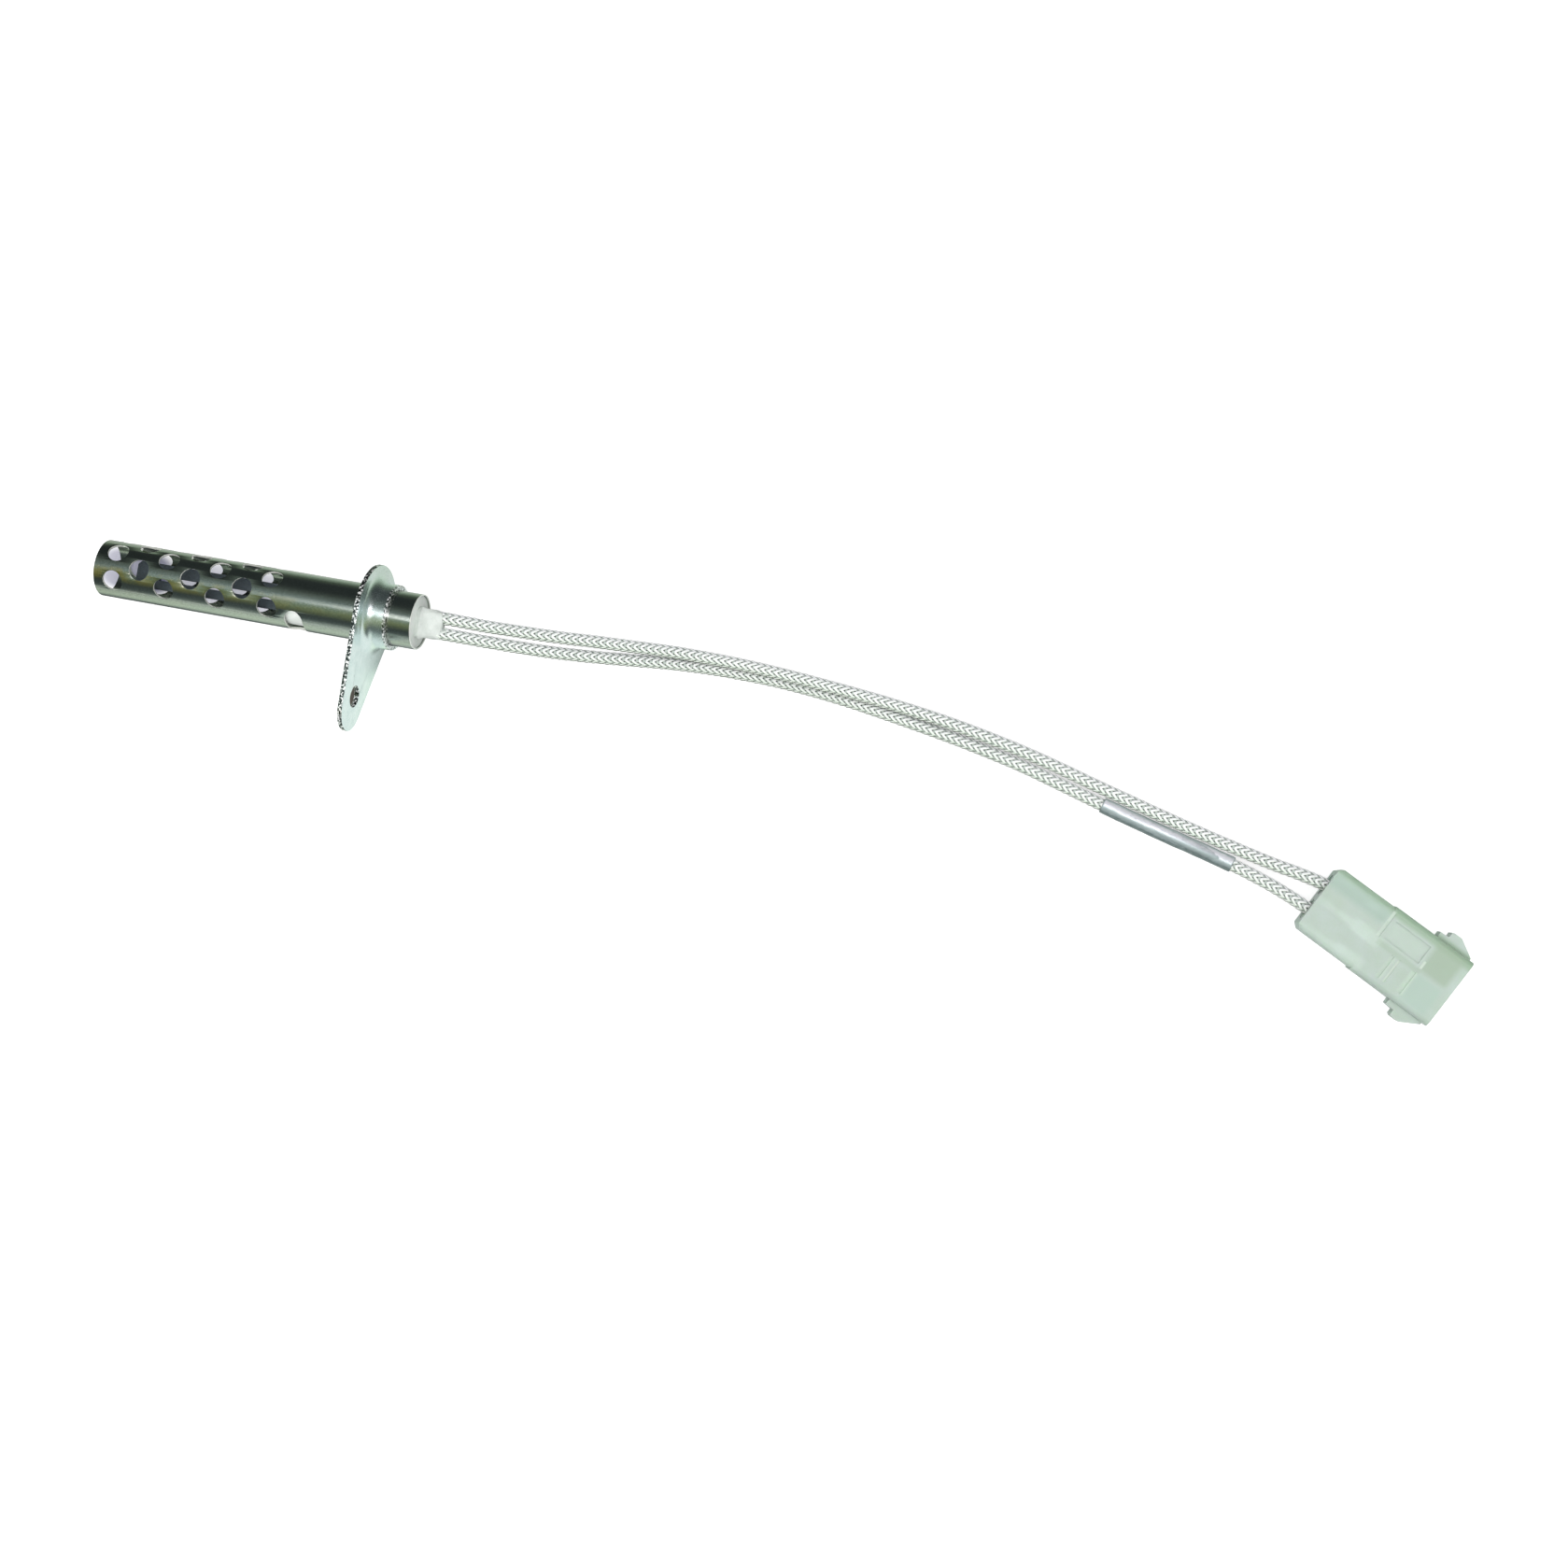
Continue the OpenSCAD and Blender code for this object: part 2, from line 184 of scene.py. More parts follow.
def lofted_faces(rings, sides, start, caps=True):
    """Quads between rings of vertices, numbered from start, and a cap on each end."""
    i, k = np.meshgrid(np.arange(rings - 1), np.arange(sides), indexing="ij")
    j = (k + 1) % sides
    quads = np.stack([i * sides + k, i * sides + j, (i + 1) * sides + j, (i + 1) * sides + k], -1)
    faces = [tuple(q) for q in (quads.reshape(-1, 4) + start).tolist()]
    if caps:
        faces.append(tuple(range(start + sides - 1, start - 1, -1)))
        faces.append(tuple(range(start + (rings - 1) * sides, start + rings * sides)))
    return faces


# ---------------------------------------------------------------- braided leads
LEAD_D = 2.9 * MM
CARRIERS = 8                  # strands each way round
BRAID_PITCH = 12 * MM         # length of one turn of a strand
STRAND_W = 0.64 * MM
STRAND_T = 0.2 * MM
STRAND_SECTION = [            # a strand's outline, in parts of its width and its thickness
    (0.5, 0), (0.26, 0.5), (-0.26, 0.5), (-0.5, 0), (-0.26, -0.5), (0.26, -0.5),
]
STRAND_RINGS = 32             # rings in one turn of a strand
WEAVE = 0.11 * MM             # how far a strand goes over and under the middle of the braid
WEAVE_R = LEAD_D / 2 - WEAVE - STRAND_T / 2
CORE_R = WEAVE_R - 0.14 * MM
CORE_STEP = 1.5 * MM          # between two rings of the core
CORE_SIDES = 16
SOAKED = 4.5 * MM             # cement creeps this far along the braid
ON_TOP, CORE_FACE, BELOW, WET = range(4)      # places in a lead's list of materials; BELOW faces and the core take painted shade


def braid_core(route, start):
    """The core as vertices, faces and each face's material; its vertices are numbered from start."""
    rings = int(route.length / CORE_STEP)
    along, angle = np.meshgrid(np.linspace(0, route.length, rings),
                               np.arange(CORE_SIDES) * 2 * math.pi / CORE_SIDES, indexing="ij")
    vertices = route.points(along, angle, np.full(along.shape, CORE_R)).reshape(-1, 3)
    faces = lofted_faces(rings, CORE_SIDES, start)
    wet = int(rings * SOAKED / route.length) * CORE_SIDES
    return vertices, faces, [WET] * wet + [CORE_FACE] * (len(faces) - wet)


def braid_strand(route, start, way, k):
    """Strand k of those that wind round the core one way (1 or -1): vertices, faces and materials."""
    rings = int(route.length / BRAID_PITCH * STRAND_RINGS)
    sides = len(STRAND_SECTION)
    across = np.array([x for x, y in STRAND_SECTION]) * STRAND_W
    thick = np.array([y for x, y in STRAND_SECTION]) * STRAND_T
    lean = math.atan(2 * math.pi * WEAVE_R / BRAID_PITCH)
    s = np.linspace(0, route.length, rings)[:, None]
    turn = 2 * math.pi * (way * s / BRAID_PITCH + k / CARRIERS)
    over = way * WEAVE * np.cos(CARRIERS / 2 * turn - math.pi / 2)
    angle = turn + across * math.cos(lean) / WEAVE_R
    along = s - across * way * math.sin(lean)
    vertices = route.points(along, angle, WEAVE_R + over + thick).reshape(-1, 3)
    faces = lofted_faces(rings, sides, start)
    if way < 0:
        faces = [f[::-1] for f in faces]
    # strands where they dive under get the painted-shade copy of the yarn
    top = np.where(over[:-1, 0] + over[1:, 0] > -0.2 * WEAVE, ON_TOP, BELOW)
    kinds = np.concatenate([np.repeat(top, sides), [ON_TOP] * (len(faces) - sides * len(top))])
    wet = int(rings * SOAKED / route.length * (0.7 + 0.6 * (k % 3) / 2)) * sides
    kinds[:wet] = WET
    return vertices, faces, kinds.tolist()


def braid(name, route):
    """A lead as a core and two sets of flat strands, each over two and under two of the other set."""
    vertices, faces, kinds = braid_core(route, 0)
    for way in (1, -1):
        for k in range(CARRIERS):
            more_vertices, more_faces, more_kinds = braid_strand(route, len(vertices), way, k)
            vertices = np.vstack([vertices, more_vertices])
            faces += more_faces
            kinds += more_kinds
    return new_mesh(name, vertices, faces, material_of_face=kinds)


near_route = Route(NEAR_ROUTE)
far_route = Route(FAR_ROUTE)
near_braid = braid("near_lead_braid", near_route)
far_braid = braid("far_lead_braid", far_route)


SLEEVE_OUTER = 1.72 * MM
SLEEVE_INNER = 1.5 * MM
SLEEVE_EDGE = 0.08 * MM       # size of the chamfers at both ends
SLEEVE_RINGS = 130
SLEEVE_SIDES = 40
CRUMPLE = 0.07 * MM


def sleeve_profile(start, end):
    """Lengths and radii of the sleeve's wall: its inner edge at the start, the outside, then its end."""
    profile = [
        (start + SLEEVE_EDGE, SLEEVE_INNER),
        (start, SLEEVE_INNER + SLEEVE_EDGE),
        (start, SLEEVE_OUTER - SLEEVE_EDGE),
    ]
    profile += [(s, SLEEVE_OUTER) for s in np.linspace(start, end, SLEEVE_RINGS)[1:-1]]
    profile += [
        (end, SLEEVE_OUTER - SLEEVE_EDGE),
        (end, SLEEVE_INNER + SLEEVE_EDGE),
        (end - SLEEVE_EDGE, SLEEVE_INNER),
    ]
    return profile


def crumple(s, angle):
    """How far the sleeve's skin is pushed in or out: broad dents, with smaller ones over them."""
    broad = noise.noise(Vector((s * 300, math.cos(angle) * 0.9, math.sin(angle) * 0.9)))
    small = noise.noise(Vector((s * 1300, math.cos(angle) * 2, math.sin(angle) * 2)))
    return (broad + 0.4 * small) * CRUMPLE


def make_sleeve():
    """Thin sleeve on the near lead, a little crumpled, open at both ends."""
    sides = SLEEVE_SIDES
    angle = np.arange(sides) * 2 * math.pi / sides
    rows = []
    for s, r in sleeve_profile(near_route.knots[SLEEVE_FROM], near_route.knots[SLEEVE_TO]):
        dents = np.array([crumple(s, a) for a in angle])
        if r < SLEEVE_OUTER:
            dents *= 0.4
        rows.append(near_route.points(np.full(sides, s), angle, r + dents))
    faces = lofted_faces(len(rows), sides, 0, caps=False)
    last = (len(rows) - 1) * sides
    faces += [(last + k, last + (k + 1) % sides, (k + 1) % sides, k) for k in range(sides)]
    return new_mesh("marker_sleeve_skin", np.vstack(rows), faces)


sleeve = make_sleeve()

for piece, stood_for in ((near_braid, "near_lead"), (far_braid, "far_lead"), (sleeve, "marker_sleeve")):
    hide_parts(stood_for)
    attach(piece, BODY)


# ---------------------------------------------------------------- cement round the leads
HALF_PITCH = 1.7              # mm from the tube's axis to a lead, where the leads leave the insulator
CEMENT_SIDES = 64
CEMENT_IN_POCKET = [          # mm from the tip, radius in mm round each lead
    (67, 1.6), (72, 1.62),
]
CEMENT_OUTSIDE = [            # mm behind the insulator's rear face, radius in mm round each lead
    (-0.1, 1.66), (0.05, 2.05), (0.2, 1.92), (0.5, 1.75), (0.9, 1.64), (1.3, 1.58), (1.7, 1.56),
    (2.4, 1.55), (3.2, 1.53), (4.0, 1.52), (4.7, 1.5), (5.2, 1.38),
]


def lumps(along, y, z):
    """Factor on the cement's cross-section, for a poured and uneven surface."""
    broad = noise.noise(Vector((along * 0.8, y * 0.7, z * 0.7)))
    small = noise.noise(Vector((along * 2.5, y * 2.5, z * 2.5)))
    return 1 + 0.1 * broad + 0.05 * small


def make_cement():
    """Cement in the insulator's rear pocket: it stands proud of the face and creeps along the leads."""
    face_at = (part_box("ceramic_insulator")[1] - TIP).dot(AXIS) / MM
    profile = CEMENT_IN_POCKET + [(face_at + past, radius) for past, radius in CEMENT_OUTSIDE]
    vertices = []
    for along, radius in profile:
        for k in range(CEMENT_SIDES):
            angle = 2 * math.pi * k / CEMENT_SIDES
            y = radius * math.cos(angle) + math.copysign(HALF_PITCH, math.cos(angle))
            z = radius * math.sin(angle)
            lump = 1 if along < face_at else lumps(along, y, z)
            drift = 0.35 * noise.noise(Vector((7, y * 0.9, z * 0.9))) if along > face_at + 0.3 else 0
            vertices.append(on_probe(along + drift, y * lump, z * lump))
    return new_mesh("rear_cement_blob", vertices, lofted_faces(len(profile), CEMENT_SIDES, 0))


cement = make_cement()
subdivide = cement.modifiers.new("subdivide", "SUBSURF")
subdivide.levels = subdivide.render_levels = 1
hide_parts("rear_cement")
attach(cement, BODY)


# ---------------------------------------------------------------- node graphs for materials
class Graph:
    """A material's nodes, with short calls for the ones used here. Positions are in millimetres."""

    def __init__(self, name):
        self.material = bpy.data.materials.new(name)
        self.material.use_nodes = True
        self.tree = self.material.node_tree
        self.shader = self.tree.nodes["Principled BSDF"]
        self.coordinates = self.node("ShaderNodeTexCoord").outputs["Object"]

    def node(self, kind, **values):
        """A new node of a kind, with values for its own settings."""
        made = self.tree.nodes.new(kind)
        for key, value in values.items():
            setattr(made, key, value)
        return made

    def link(self, source, target):
        """A link from an output socket to an input socket."""
        self.tree.links.new(source, target)

    def set(self, **values):
        """Plain values for the shader's inputs; a name's underscores stand for spaces."""
        for key, value in values.items():
            self.shader.inputs[key.replace("_", " ")].default_value = value

    def place(self, scale=(1, 1, 1), rotation=(0, 0, 0), location=(0, 0, 0)):
        """Coordinates in millimetres: turned first, then stretched by scale."""
        turned = self.node("ShaderNodeMapping")
        turned.inputs["Location"].default_value = location
        turned.inputs["Rotation"].default_value = rotation
        self.link(self.coordinates, turned.inputs["Vector"])
        scaled = self.node("ShaderNodeMapping")
        scaled.inputs["Scale"].default_value = [x / MM for x in scale]
        self.link(turned.outputs["Vector"], scaled.inputs["Vector"])
        return scaled.outputs["Vector"]

    def axes(self, vector):
        """The X, Y and Z of a vector as three sockets."""
        split = self.node("ShaderNodeSeparateXYZ")
        self.link(vector, split.inputs["Vector"])
        return split.outputs["X"], split.outputs["Y"], split.outputs["Z"]

    def stretch(self, value, before, after=(0, 1)):
        """A value carried from one range (low, high) to another, and held at both ends."""
        made = self.node("ShaderNodeMapRange")
        for name, number in zip(("From Min", "From Max", "To Min", "To Max"), (*before, *after)):
            made.inputs[name].default_value = number
        self.link(value, made.inputs["Value"])
        return made.outputs["Result"]

    def noise(self, vector, scale=1.0, detail=3.0, roughness=0.55):
        """Soft noise from 0 to 1."""
        made = self.node("ShaderNodeTexNoise")
        made.inputs["Scale"].default_value = scale
        made.inputs["Detail"].default_value = detail
        made.inputs["Roughness"].default_value = roughness
        self.link(vector, made.inputs["Vector"])
        return made.outputs["Fac"]

    def ramp(self, value, stops):
        """A colour ramp: stops are (position, colour or grey)."""
        made = self.node("ShaderNodeValToRGB")
        ramp = made.color_ramp
        while len(ramp.elements) > 1:
            ramp.elements.remove(ramp.elements[0])
        for i, (position, colour) in enumerate(stops):
            element = ramp.elements[0] if i == 0 else ramp.elements.new(position)
            element.position = position
            if isinstance(colour, (int, float)):
                colour = (colour,) * 3
            element.color = (*colour, 1)
        self.link(value, made.inputs["Fac"])
        return made.outputs["Color"]

    def mix(self, factor, a, b, blend="MIX"):
        """Colour a turned into colour b by a factor."""
        made = self.node("ShaderNodeMix", data_type="RGBA", blend_type=blend)
        for name, value in (("Factor", factor), ("A", a), ("B", b)):
            socket = made.inputs[name]
            if isinstance(value, bpy.types.NodeSocket):
                self.link(value, socket)
            elif isinstance(value, (int, float)):
                socket.default_value = value
            else:
                socket.default_value = (*value, 1)
        return next(o for o in made.outputs if o.type == "RGBA")

    def math(self, operation, a, b=0.0):
        """One operation on two values, each a socket or a number."""
        made = self.node("ShaderNodeMath", operation=operation)
        for socket, value in zip(made.inputs, (a, b)):
            if isinstance(value, bpy.types.NodeSocket):
                self.link(value, socket)
            else:
                socket.default_value = value
        return made.outputs["Value"]

    def bump(self, height, strength, distance):
        """Adds a layer of bump; distance is in millimetres."""
        made = self.node("ShaderNodeBump")
        made.inputs["Strength"].default_value = strength
        made.inputs["Distance"].default_value = distance * MM
        self.link(height, made.inputs["Height"])
        normal = self.shader.inputs["Normal"]
        if normal.is_linked:
            self.link(normal.links[0].from_socket, made.inputs["Normal"])
        self.link(made.outputs["Normal"], normal)

    def between(self, value, low, high):
        """One where low < value < high, nought elsewhere."""
        above = self.math("GREATER_THAN", value, low)
        return self.math("MULTIPLY", above, self.math("LESS_THAN", value, high))

    def colour(self, socket):
        """The material's colour."""
        self.link(socket, self.shader.inputs["Base Color"])

    def roughness(self, value, low, high):
        """Roughness from low to high, as a value goes from 0 to 1."""
        self.link(self.stretch(value, (0, 1), (low, high)), self.shader.inputs["Roughness"])


PROBE_TURN = (0, TILT, 0)
CONN_TURN = (0, 0, -CONN_YAW)
UNDERSIDE = (0, -0.97, -0.24)     # towards the photograph's lower edge and the table


def from_tube(g):
    """Distance from the tube's axis and along it from the tip, in millimetres, as two sockets."""
    x, y, z = g.axes(g.place((1, 1, 1), PROBE_TURN))
    tip = Matrix.Rotation(TILT, 3, "Y") @ (TIP / MM)
    side = g.math("SUBTRACT", y, tip.y)
    rise = g.math("SUBTRACT", z, tip.z)
    away = g.math("SQRT", g.math("ADD", g.math("MULTIPLY", side, side), g.math("MULTIPLY", rise, rise)))
    return away, g.math("SUBTRACT", x, tip.x)


def facing(g, direction):
    """How far the surface turns towards a direction, from -1 to 1."""
    dot = g.node("ShaderNodeVectorMath", operation="DOT_PRODUCT")
    g.link(g.node("ShaderNodeTexCoord").outputs["Normal"], dot.inputs[0])
    dot.inputs[1].default_value = direction
    return dot.outputs["Value"]


HEATED = 60                   # mm from the tip over which the tint from heat fades
CREST_LEAN = -13              # degrees from straight up to the line that the straw blotches of painted warm reflection follow
CUT_FROM = 5.9                # the holes' cut edges lie between these distances from the axis, in mm
CUT_TO = 6.27
LIP_TO = 6.345                # and reach up to here where they turn towards the leads
HOLES_END = 55.0              # mm from the tip
REAR_RIM = 75.3


def heat_tint_and_painted_light(g, steel, cloud):
    """A faint straw tint from heat that grows towards the tip; stronger straw blotches along a band near
    the crest are a painted warm reflection, and a painted shade darkens the steel towards the tip.
    """
    along = g.axes(g.place((1, 1, 1), PROBE_TURN))[0]
    reach = g.stretch(along, (TIP.x / MM, TIP.x / MM + HEATED), (0.7, 0.06))
    heat = g.math("MULTIPLY", reach, cloud)
    steel = g.mix(g.math("MULTIPLY", heat, 0.6), steel, (0.44, 0.42, 0.26))
    # painted reflection: straw blotches in a band near the crest
    lean = math.radians(CREST_LEAN)
    band = facing(g, tuple(RISE * math.cos(lean) + SIDE * math.sin(lean)))
    blotch = g.noise(g.place((0.22, 0.34, 0.34), PROBE_TURN, (3, 0, 0)), 1, 3, 0.6)
    straw = g.math("MULTIPLY", g.ramp(blotch, [(0.4, 0.0), (0.56, 1.0)]),
                   g.ramp(band, [(0.955, 0.0), (0.985, 1.0)]))
    steel = g.mix(g.math("MULTIPLY", straw, reach), steel, (0.74, 0.52, 0.13))
    # painted shade: the steel is darkened towards the tip
    return g.mix(1.0, steel, g.ramp(reach, [(0.4, 1.0), (0.7, 0.76)]), "MULTIPLY")


def painted_edge_highlight(g):
    """Mask for a painted highlight: one on the cut edges of the tube's holes and on its rear rim, nought
    elsewhere.
    """
    away, along = from_tube(g)
    lip = g.math("MULTIPLY", g.between(away, CUT_FROM, LIP_TO),
                 g.math("GREATER_THAN", facing(g, (1, 0, 0)), 0.15))
    wall = g.math("MAXIMUM", g.between(away, CUT_FROM, CUT_TO), lip)
    wall = g.math("MULTIPLY", wall, g.math("LESS_THAN", along, HOLES_END))
    return g.math("MAXIMUM", wall, g.math("GREATER_THAN", along, REAR_RIM))


def stainless():
    """Polished tube: fine rings from drawing, a tint from heat, painted highlights on the cut edges, a
    painted reflection near the crest, and painted shade towards the tip and on the underside.
    """
    g = Graph("stainless_tube")
    g.set(Metallic=1.0)
    rings = g.noise(g.place((3.2, 0.05, 0.05), PROBE_TURN), 1, 4, 0.7)
    drawn = g.noise(g.place((0.02, 1.3, 1.3), PROBE_TURN), 1, 3)
    cloud = g.noise(g.place((0.16, 0.3, 0.3), PROBE_TURN), 1, 3)
    speckle = g.noise(g.place((2.4, 2.4, 2.4), PROBE_TURN), 1, 3, 0.7)
    steel = g.ramp(cloud, [(0.3, (0.40, 0.44, 0.40)), (0.7, (0.45, 0.48, 0.44))])
    steel = heat_tint_and_painted_light(g, steel, cloud)
    steel = g.mix(0.25, steel, g.ramp(speckle, [(0.35, 0.26), (0.65, 0.62)]))
    # painted highlight: the cut edges and the rear rim are made pale and less metallic
    cut = painted_edge_highlight(g)
    steel = g.mix(cut, steel, (0.92, 0.93, 0.88))
    # painted shade: the underside is darkened and its shine lowered
    shade = g.ramp(facing(g, UNDERSIDE), [(0.76, 0.0), (0.85, 0.45), (0.92, 1.0)])
    g.colour(g.mix(shade, steel, (0.09, 0.11, 0.11)))
    gloss = g.math("SUBTRACT", 0.5, g.math("MULTIPLY", shade, 0.5))
    g.link(gloss, g.shader.inputs["Specular IOR Level"])
    dull = g.math("MAXIMUM", g.math("MULTIPLY", cut, 0.7), g.math("MULTIPLY", shade, 0.85))
    g.link(g.math("SUBTRACT", 1.0, dull), g.shader.inputs["Metallic"])
    g.roughness(rings, 0.14, 0.21)
    g.bump(rings, 0.12, 0.01)
    g.bump(speckle, 0.1, 0.01)
    g.bump(drawn, 0.1, 0.01)
    return g.material


LUG_FROM = 9.8                # mm from the tube's axis: beyond the collar's round edge
COLLAR_R = 8.0
COLLAR_END = 70               # mm from the tip
COLLAR_RIM = 0.55             # mm of the collar's end that carry painted glints


def plated():
    """Flange: bright zinc with a fine grain; its stamped edges carry a painted dark reflection with small
    painted glints, and the collar's end has painted glints too.
    """
    g = Graph("plated_flange")
    g.set(Metallic=1.0)
    fine = g.noise(g.place((9, 9, 9)), 1, 4, 0.65)
    cloud = g.noise(g.place((0.45, 0.45, 0.45)), 1, 3)
    glint_noise = g.noise(g.place((1.9, 1.9, 1.9)), 1, 2, 0.6)
    tone = g.ramp(cloud, [(0.3, (0.80, 0.88, 0.88)), (0.7, (0.93, 0.98, 0.98))])
    tone = g.mix(0.12, tone, g.ramp(fine, [(0.3, 0.3), (0.7, 0.95)]))
    away, along = from_tube(g)
    turned = g.math("ABSOLUTE", facing(g, tuple(AXIS)))
    stamped = g.math("MULTIPLY", g.math("GREATER_THAN", away, LUG_FROM),
                     g.ramp(turned, [(0.55, 1.0), (0.8, 0.0)]))
    # painted reflection and glints: the stamped edges are dark with white specks
    edge = g.ramp(glint_noise, [(0.46, (0.04, 0.05, 0.05)), (0.52, (0.25, 0.28, 0.27)), (0.57, (1.0, 1.0, 1.0))])
    tone = g.mix(stamped, tone, edge)
    rim = g.math("MULTIPLY", g.math("GREATER_THAN", along, COLLAR_END - COLLAR_RIM),
                 g.math("LESS_THAN", away, COLLAR_R))
    # painted glints on the collar's end
    rim_glints = g.ramp(glint_noise, [(0.42, (0.16, 0.18, 0.17)), (0.54, (1.0, 1.0, 1.0))])
    g.colour(g.mix(rim, tone, rim_glints))
    # the painted glints are made non-metallic so they stay white
    glints = g.ramp(glint_noise, [(0.53, 0.0), (0.58, 0.7)])
    glints = g.math("MULTIPLY", g.math("MAXIMUM", rim, stamped), glints)
    g.link(g.math("SUBTRACT", 1.0, glints), g.shader.inputs["Metallic"])
    g.roughness(fine, 0.2, 0.34)
    g.bump(fine, 0.2, 0.02)
    g.bump(cloud, 0.25, 0.08)
    return g.material


def ceramic(name, light, dark, bump):
    """Fired or poured white ceramic with a fine grain and faint stains."""
    g = Graph(name)
    grain = g.noise(g.place((5, 5, 5)), 1, 5, 0.7)
    stain = g.noise(g.place((0.5, 0.5, 0.5)), 1, 3)
    tone = g.ramp(stain, [(0.35, dark), (0.65, light)])
    g.colour(g.mix(0.25, tone, g.ramp(grain, [(0.3, dark), (0.7, light)])))
    g.roughness(grain, 0.6, 0.85)
    g.bump(grain, 0.4, bump)
    return g.material


def glass_braid(name, light, dark):
    """Woven glass yarn: slightly glossy filaments, with painted shade down the flanks and along the
    underside, and painted green and lilac reflections on the near and far sides.
    """
    g = Graph(name)
    cloud = g.noise(g.place((0.5, 0.5, 0.5)), 1, 3)
    fibre = g.noise(g.place((14, 14, 14)), 1, 3, 0.7)
    tone = g.mix(g.ramp(fibre, [(0.3, 0.0), (0.7, 0.7)]), g.ramp(cloud, [(0.3, dark), (0.6, light)]), dark)
    # painted reflections: a green tint on the near side and a lilac tint on the far side
    near_side_reflection = g.ramp(facing(g, (0, -1, 0)), [(0.1, 0.0), (0.5, 0.6)])
    far_side_reflection = g.ramp(facing(g, (0, 1, 0)), [(0.3, 0.0), (0.8, 0.5)])
    tone = g.mix(near_side_reflection, tone, g.mix(1.0, tone, (0.86, 0.98, 0.82), "MULTIPLY"))
    tone = g.mix(far_side_reflection, tone, g.mix(1.0, tone, (0.92, 0.92, 1.0), "MULTIPLY"))
    # painted shade down the flanks
    flank_shade = g.ramp(facing(g, (0, 0, 1)), [(0.0, 0.22), (0.22, 0.3), (0.5, 0.85), (0.7, 1.0)])
    tone = g.mix(1.0, tone, flank_shade, "MULTIPLY")
    # painted shade along the underside
    outline = g.ramp(facing(g, UNDERSIDE), [(0.5, 0.0), (0.76, 1.0)])
    g.colour(g.mix(outline, tone, g.mix(1.0, tone, (0.2, 0.22, 0.16), "MULTIPLY")))
    g.shader.inputs["Specular IOR Level"].default_value = 0.35
    g.roughness(fibre, 0.45, 0.65)
    g.bump(fibre, 0.3, 0.02)
    return g.material


def silver_sleeve():
    """Silver-grey sleeve: soft metallic film, wrinkled, with rubbed spots, a painted highlight on its
    upper side and painted shade below.
    """
    g = Graph("silver_sleeve")
    g.set(Metallic=0.35)
    wear = g.noise(g.place((0.9, 1.6, 1.6)), 1, 4, 0.6)
    fine = g.noise(g.place((6, 6, 6)), 1, 3)
    # painted highlight and shade: the colour follows which way the surface faces
    turned = g.math("MULTIPLY", facing(g, (0.12, 0.45, 0.88)), 0.9)
    turned = g.math("ADD", turned, g.math("MULTIPLY", wear, 0.16))
    film = g.ramp(turned, [
        (0.35, (0.14, 0.18, 0.18)), (0.52, (0.34, 0.41, 0.42)), (0.80, (0.44, 0.52, 0.53)),
        (0.92, (0.62, 0.66, 0.70)), (0.965, (0.92, 0.92, 0.98)),
    ])
    g.colour(g.mix(g.ramp(wear, [(0.4, 0.0), (0.7, 0.25)]), film, (0.52, 0.58, 0.58)))
    g.roughness(wear, 0.28, 0.5)
    g.bump(fine, 0.2, 0.02)
    g.bump(wear, 0.4, 0.08)
    return g.material


NYLON_PAINTED_LIGHT = [               # painted light and shade on the housing's edges, steps and hollows: x0, x1, y0, y1 and soft edge in mm on the connector, amount, colour
    (-1, 40, 6.2, 9, 1.0, 0.8, (0.36, 0.51, 0.36)),
    (-1, 14, 3.4, 6.6, 1.6, 0.8, (0.44, 0.58, 0.50)),
    (15.6, 24.6, 1.2, 5.6, 0.8, 0.8, (0.58, 0.69, 0.61)),
    (25.5, 32, 0.3, 8, 1.2, 0.7, (0.40, 0.52, 0.39)),
    (25.8, 32, -7, -0.5, 1.2, 0.8, (0.50, 0.64, 0.56)),
    (14.1, 14.8, 0.8, 7.1, 0.25, 0.9, (0.66, 0.77, 0.68)),
    (19.1, 20.4, -6.2, -0.6, 0.5, 0.8, (0.62, 0.74, 0.64)),
    (20.9, 21.4, -6.2, -0.6, 0.25, 0.8, (0.70, 0.80, 0.70)),
    (24.4, 25.8, -6.2, -0.6, 0.5, 0.7, (0.64, 0.78, 0.66)),
    (15, 26, -0.6, 0.5, 0.5, 0.5, (0.44, 0.56, 0.44)),
    (25.3, 25.8, 0.6, 2.4, 0.25, 0.8, (0.74, 0.83, 0.74)),
]


def soft_span(g, value, low, high, soft):
    """One between low and high, fading to nought over the width called soft at each end."""
    off = g.math("ABSOLUTE", g.math("SUBTRACT", value, (low + high) / 2))
    inside = g.math("DIVIDE", g.math("SUBTRACT", (high - low) / 2, off), soft)
    return g.math("MINIMUM", g.math("MAXIMUM", g.math("ADD", inside, 0.5), 0.0), 1.0)


